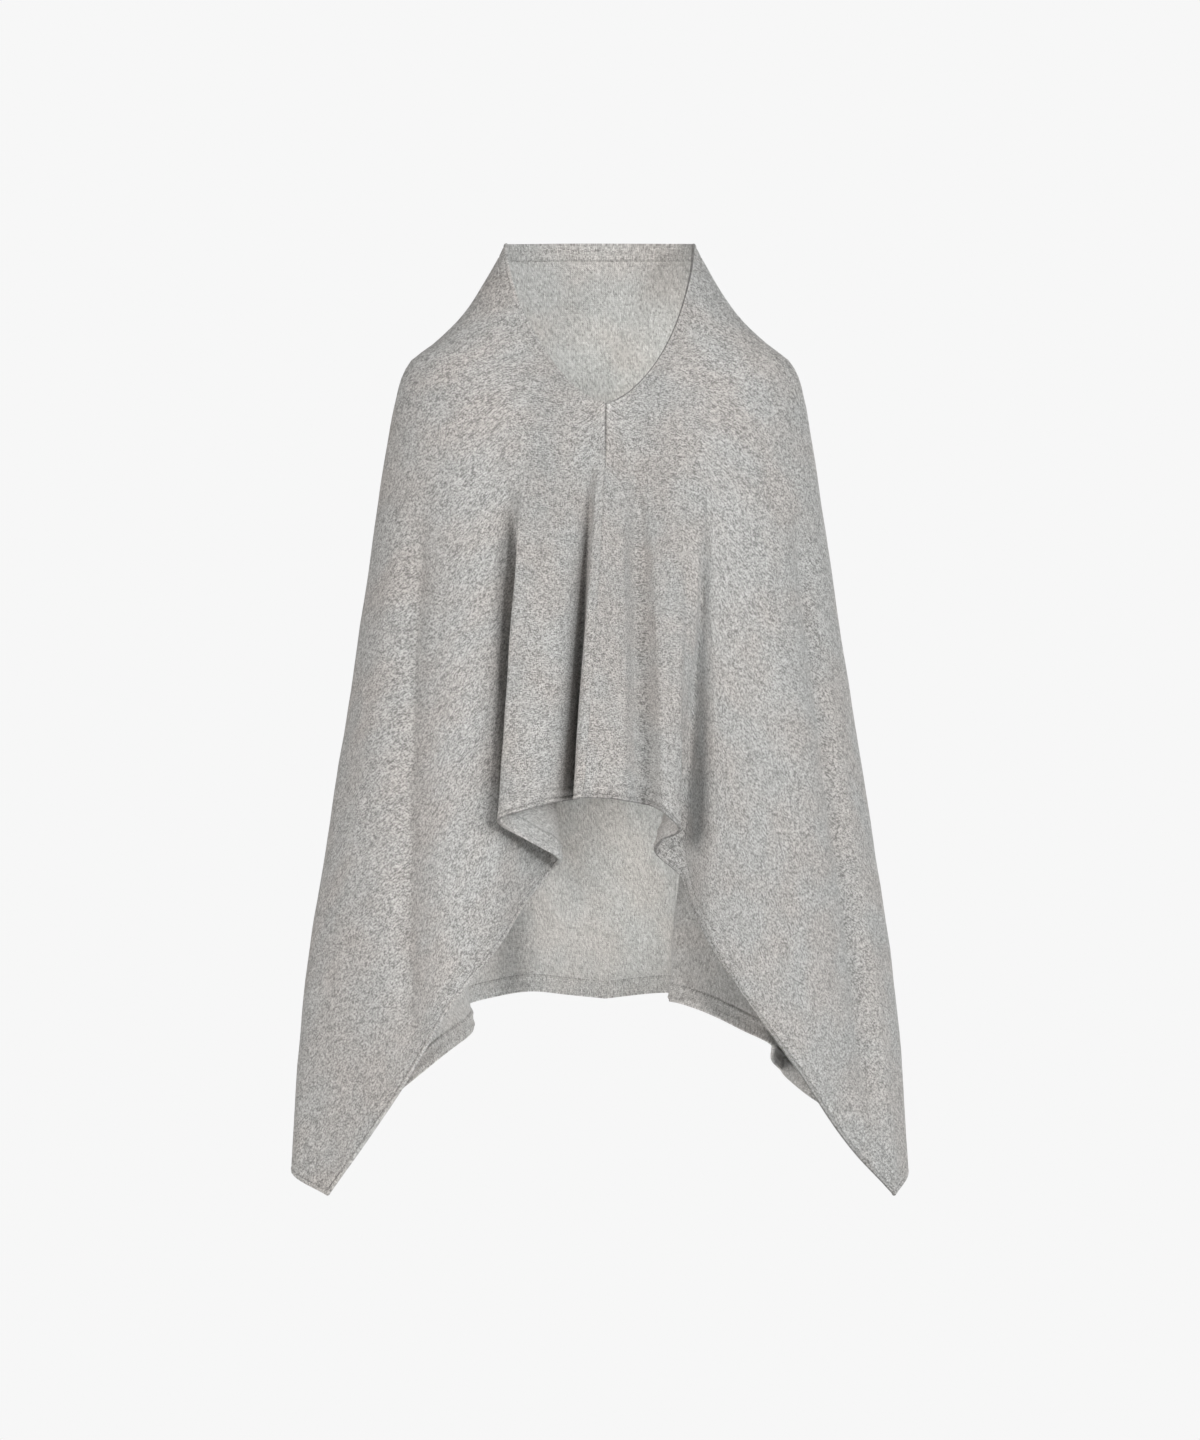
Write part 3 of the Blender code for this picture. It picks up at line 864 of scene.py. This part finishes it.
def turned_edge(name, points, inward, flat, fold_shade):
    """A rolled edge; row 0 of the grids is the edge itself, later rows go up the cloth.

    fold_shade, a value for each column, is painted shade on the fold itself.
    """
    off = unit(points[0] - points[1])
    depth = CLOTH + GAP + TURNED
    middle = points[0] + inward[0] * depth / 2
    rows = []
    for turn in np.linspace(-np.pi / 2, np.pi / 2, ROLL_STEPS + 1):
        rows.append((middle + depth / 2 * (off * np.cos(turn) + inward[0] * np.sin(turn)),
                     flat[0] + (flat[0] - flat[1]) * np.cos(turn) * FOLD_ON_CUT))
    for row in range(1, len(points)):
        thin = TAPER if row == len(points) - 1 else 0
        rows.append((points[row] + inward[row] * (depth - thin), flat[row]))
    rows.append((points[-1] + inward[-1] * (CLOTH - SEWN_IN) - off * SEWN_REACH, flat[-1]))
    for row in range(len(points) - 1, 0, -1):
        rows.append((points[row] + inward[row] * (CLOTH + GAP), flat[row]))
    rows.append((points[0] + inward[0] * (CLOTH + GAP) + off * FLUSH, flat[0]))
    rows.append(rows[0])
    mesh = grid_mesh(name, *map(np.array, zip(*rows)))
    # Painted shade on the round fold of the edge.
    fold_shade_rows = np.zeros((len(rows), len(fold_shade)))
    fold_shade_rows[1:ROLL_STEPS] = fold_shade
    mark_painted_shading(mesh, fold_shade_rows)
    piece = add_object(name, mesh, (WOOL_PRESSED,))
    close_tube(piece)
    return piece


def close_tube(piece):
    """Welds the long seam of a tube, closes its ends and turns its faces outwards."""
    tube = bmesh.new()
    tube.from_mesh(piece.data)
    bmesh.ops.remove_doubles(tube, verts=tube.verts[:], dist=WELD_REACH)
    rims = [edge for edge in tube.edges if edge.is_boundary]
    bmesh.ops.holes_fill(tube, edges=rims, sides=0)
    bmesh.ops.recalc_face_normals(tube, faces=tube.faces[:])
    for edge in tube.edges:
        edge.smooth = edge.calc_face_angle(0) < SHARP_TURN
    tube.to_mesh(piece.data)
    tube.free()


# %% The four edges
EDGE_SHADE_REACH = 0.015       # over this distance the painted shade of the edges fades in: from the V on the neck, above the apron on the hem
NECK_SHADOW = 2.2            # strength of the painted shadow along the neck edge at the right front
HEM_FOLD_SHADE = 1.6           # painted shade on the fold of the front hem, on the right and under the apron
APRON_LOW = -0.472        # height that the hem of the apron stays above on the left; the painted shade of the hem stops below it


def shortened(grid):
    """The same strip with each end pulled in a little."""
    strip = grid.copy()
    for end, inner in ((0, 1), (-1, -2)):
        strip[:, end] += END_GAP * unit(grid[:, inner] - grid[:, end])
    return strip


def edge_piece(name, rows, first, last, fold_shade):
    """A turned edge on the given rows, edge row first, between two columns."""
    columns = slice(first, last + 1)
    return turned_edge(name, shortened(ring[rows, columns]), -normals[rows, columns],
                       cut[rows, columns], fold_shade[columns])


NECK_ROWS = np.arange(len(EDGE_STEPS))
HEM_ROWS = ROWS - 1 - NECK_ROWS
# Painted shadow along the right front of the neck edge, fading in from the V.
on_the_right = eased((ring[0, :, 0] - SEAM_LEAN) / EDGE_SHADE_REACH)
neck_shadow = NECK_SHADOW * on_the_right * eased(-ring[0, :, 1] / EDGE_SHADE_REACH)   # and in front
# Painted shade on the fold of the front hem: under the apron and on the right, none at the
# back.
no_fold_shade = np.zeros(COLUMNS)
hem_fold_shade = np.full(COLUMNS, HEM_FOLD_SHADE)
hem_fold_shade[:LEFT_CORNER] *= eased((ring[-1, :LEFT_CORNER, 2] - APRON_LOW) / EDGE_SHADE_REACH)
neck_edge = edge_piece("neck_edge", NECK_ROWS, 0, COLUMNS - 1, neck_shadow)
left_hem = edge_piece("front_hem_left_roll", HEM_ROWS, 0, LEFT_CORNER, hem_fold_shade)
back_hem = edge_piece("back_hem_roll", HEM_ROWS, LEFT_CORNER, RIGHT_CORNER, no_fold_shade)
right_hem = edge_piece("front_hem_right_roll", HEM_ROWS, RIGHT_CORNER, COLUMNS - 1, hem_fold_shade)

# %% [markdown]
# ## Stitches
# A linking machine leaves short stitches: one row over each turned edge, one beside the
# whole centre front seam, and a second row at its top, where the V takes the strain. Each
# is a small rounded length of yarn that lies half sunk in the groove below it. They are
# real geometry, joined into one mesh for each line, so that they catch the light.

# %% Wool yarn for the stitches
YARN_TWIST = 0.0009       # length of one turn of the plies
YARN_RELIEF = 0.00008     # how far they stand out
YARN_CONTRAST = 0.5


def yarn_material():
    """Twisted wool yarn: heather colour under slanting plies."""
    material, tree, shader = new_material("wool yarn")
    place = cut_place(tree)
    colour = use_group(tree, HEATHER, Cut=place, Light=LIGHT, Dark=DARK, Contrast=YARN_CONTRAST)
    parts = add_node(tree, "SeparateXYZ", Vector=place)
    along = maths(tree, "ADD", parts.outputs["X"], parts.outputs["Y"])
    twist = maths(tree, "MULTIPLY", along, math.tau / YARN_TWIST)
    fuzzy(tree, shader, maths(tree, "SINE", twist), YARN_RELIEF,
          Base_Color=colour.outputs["Color"], Roughness=WOOL_ROUGHNESS)
    return material


WOOL_YARN = yarn_material()
print("material:", WOOL_YARN.name)

# %% Rows of stitches
Stitch = namedtuple("Stitch", "length pitch radius")
EDGE_STITCH = Stitch(0.0030, 0.0041, 0.00035)
SEAM_STITCH = Stitch(0.0019, 0.0026, 0.00032)
YARN_SIDES = 6
YARN_SHAPE = ((0.0, 0.35), (0.12, 0.85), (0.35, 1.0), (0.65, 1.0), (0.88, 0.85), (1.0, 0.35))


def along_line(line, run, at):
    """Values of a line of points at distances along it."""
    return np.stack([np.interp(at, run, line[:, i]) for i in range(3)], axis=1)


def add_stitch(mesh, uv, centres, ups, radius, first):
    """One rounded stitch along a few centres."""
    forward = unit(centres[-1] - centres[0])
    rings = []
    for centre, up, (_, size) in zip(centres, ups, YARN_SHAPE):
        across = np.cross(forward, up)
        turns = np.arange(YARN_SIDES) * math.tau / YARN_SIDES
        spokes = np.outer(np.cos(turns), across) + np.outer(np.sin(turns), up)
        rings.append([mesh.verts.new(centre + radius * size * spoke) for spoke in spokes])
    for row, (ring_a, ring_b) in enumerate(zip(rings, rings[1:])):
        for i in range(YARN_SIDES):
            j = (i + 1) % YARN_SIDES
            face = mesh.faces.new((ring_a[i], ring_b[i], ring_b[j], ring_a[j]))
            face.smooth = True
            for loop, (turn, step) in zip(face.loops, ((i, row), (i, row + 1),
                                                       (i + 1, row + 1), (i + 1, row))):
                loop[uv].uv = (first + step * radius, turn * radius)
    mesh.faces.new(rings[0][::-1])
    mesh.faces.new(rings[-1])


def stitch_line(name, lines, kind):
    """Stitches along one or more lines, joined; a line is its points and its normals."""
    mesh = bmesh.new()
    uv = mesh.loops.layers.uv.new("cut")
    shares = np.array([share for share, _ in YARN_SHAPE])
    for points, outwards in lines:
        run = distances(points)
        for start in np.arange(kind.pitch / 2, run[-1] - kind.pitch, kind.pitch):
            at = start + kind.length * shares
            add_stitch(mesh, uv, along_line(points, run, at), along_line(outwards, run, at),
                       kind.radius, start)
    return add_object(name, finished(name, mesh), (WOOL_YARN,))


SEAM_ROW_PLACE = 0.0018   # distance of the stitches from the seam
NEAR_SEAM = 12            # columns beside the seam among which that distance lies
WHOLE_SEAM = 1.0          # metres, more than there are


def beside_the_seam(distance, reach):
    """A line beside the seam, left when the distance is below 0, down to the reach."""
    points, outwards = [], []
    order = -1 if distance > 0 else 1
    for row in range(RIM_ROW + 1, ROWS - RIM_ROW - 1):
        places = ring[row, ::order][:NEAR_SEAM]
        run = distances(places)
        points.append(along_line(places, run, [abs(distance)])[0])
        facing = normals[row, ::order][:NEAR_SEAM]
        outwards.append(along_line(facing, run, [abs(distance)])[0])
        if ring[RIM_ROW, 0, 2] - ring[row, 0, 2] > reach:
            break
    return np.array(points), np.array(outwards)


neck_stitches = stitch_line("neck_stitches", [(ring[STITCH_ROW], normals[STITCH_ROW])],
                            EDGE_STITCH)
hem_stitches = stitch_line("hem_stitches", [
    (ring[-1 - STITCH_ROW], normals[-1 - STITCH_ROW])], EDGE_STITCH)
seam_stitches = stitch_line("seam_stitches", [
    beside_the_seam(-SEAM_ROW_PLACE, WHOLE_SEAM),
    beside_the_seam(SEAM_ROW_PLACE, DOUBLE_ROW_REACH)], SEAM_STITCH)
stitches = neck_stitches, hem_stitches, seam_stitches
print("stitches:", {piece.name: len(piece.data.polygons) for piece in stitches})

# %% [markdown]
# ## Floor, light and camera
# A garment on an unseen figure needs no more than a pale floor and very soft light. The
# folds then show by the light that they shut out, not by hard shadows. Two small cards
# of light stand inside, one in the neck and one low down, where the large lamps are dim.

# %% Floor
FLOOR_HEIGHT = -1.42      # the shoulder line of a standing adult is this far up
FLOOR_RADIUS = 2.0
FLOOR_SIDES = 96
FLOOR_ROUGHNESS = 0.8
PALE = (0.90, 0.90, 0.90, 1)


def pale_floor():
    """A round pale floor under the garment."""
    disc = bmesh.new()
    bmesh.ops.create_circle(disc, cap_ends=True, segments=FLOOR_SIDES, radius=FLOOR_RADIUS)
    material, tree, shader = new_material("pale floor")
    fill(tree, shader, Base_Color=PALE, Roughness=FLOOR_ROUGHNESS)
    floor = add_object("floor", finished("floor", disc), (material,))
    floor.location.z = FLOOR_HEIGHT


pale_floor()
print("floor at", FLOOR_HEIGHT)

# %% Light
BACKDROP = 0.930          # brightness of the pale backdrop
AMBIENT = 0.18            # share of it that lights the cloth


def soft_world():
    """An even pale surround: bright to the eye, softer as a light."""
    world = bpy.data.worlds.new("pale surround")
    bpy.context.scene.world = world
    world.use_nodes = True
    tree = world.node_tree
    rays = add_node(tree, "LightPath")
    seen = maths(tree, "MULTIPLY_ADD", rays.outputs["Is Camera Ray"], 1 - AMBIENT, AMBIENT)
    fill(tree, tree.nodes["Background"], Color=(BACKDROP, BACKDROP, BACKDROP, 1), Strength=seen)


MIDDLE = (0, 0, -0.36)    # of the garment, where the large lamps and the camera aim
WHITE = (1.00, 1.00, 1.00)
IVORY = (1.00, 1.00, 0.98)
Lamp = namedtuple("Lamp", "name place target size power colour spread", defaults=(WHITE, 180))
LAMPS = (
    Lamp("left softbox", (-3.1, -3.0, 0.60), MIDDLE, (2.0, 2.4), 122, (1.00, 0.965, 0.945)),
    Lamp("right softbox", (3.1, -3.0, 0.65), MIDDLE, (2.0, 2.4), 100),
    Lamp("front fill", (1.8, -3.9, 0.20), MIDDLE, (0.7, 0.7), 62),
    Lamp("back softbox", (0.8, 3.6, 0.30), MIDDLE, (2.4, 2.4), 90, (1.00, 0.99, 0.98)),
    Lamp("inside card", (0.045, 0.015, -0.535), (0.025, 0.1, -0.535), (0.10, 0.22), 0.118,
         IVORY, 140),
    Lamp("neck card", (0.028, 0.008, -0.028), (0.028, 0.1, -0.028), (0.09, 0.13), 0.122,
         IVORY),
)


def soft_lamp(lamp):
    """A soft lamp aimed at its target, itself out of sight."""
    data = bpy.data.lights.new(lamp.name, "AREA")
    data.shape = "RECTANGLE"
    data.size, data.size_y = lamp.size
    data.energy = lamp.power
    data.spread = math.radians(lamp.spread)
    data.color = lamp.colour
    light = bpy.data.objects.new(lamp.name, data)
    light.location = lamp.place
    aim = Vector(lamp.target) - Vector(lamp.place)
    light.rotation_euler = aim.to_track_quat("-Z", "Y").to_euler()
    light.visible_camera = False
    bpy.context.scene.collection.objects.link(light)


soft_world()
for lamp in LAMPS:
    soft_lamp(lamp)
print("lamps:", [lamp.name for lamp in LAMPS])

# %% Camera
CAMERA_DISTANCE = 5.0
VIEW_HEIGHT = 1.44        # metres of the garment's own plane that the frame shows
SENSOR = 36

data = bpy.data.cameras.new("camera")
data.sensor_fit = "VERTICAL"
data.sensor_height = SENSOR
data.sensor_width = SENSOR
data.lens = SENSOR * CAMERA_DISTANCE / VIEW_HEIGHT
camera = bpy.data.objects.new("camera", data)
camera.location = (0, -CAMERA_DISTANCE, MIDDLE[2])
camera.rotation_euler = (math.pi / 2, 0, 0)
bpy.context.scene.collection.objects.link(camera)
bpy.context.scene.camera = camera
bpy.context.scene.view_settings.view_transform = "Standard"
print("lens: %.0f mm" % data.lens)

# %% [markdown]
# ## Tie the pieces to the part
# Each piece moves with the root body, and the panel and each turned edge stand in for a
# solid of the part, which is hidden.

# %% Ride and replace
REPLACED = {panel: "body_panel", neck_edge: "neck_hem", left_hem: "front_hem_left",
            back_hem: "back_hem", right_hem: "front_hem_right"}
for piece, node in REPLACED.items():
    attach(piece, "root")
    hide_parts(node)
for piece in stitches:
    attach(piece, "root")
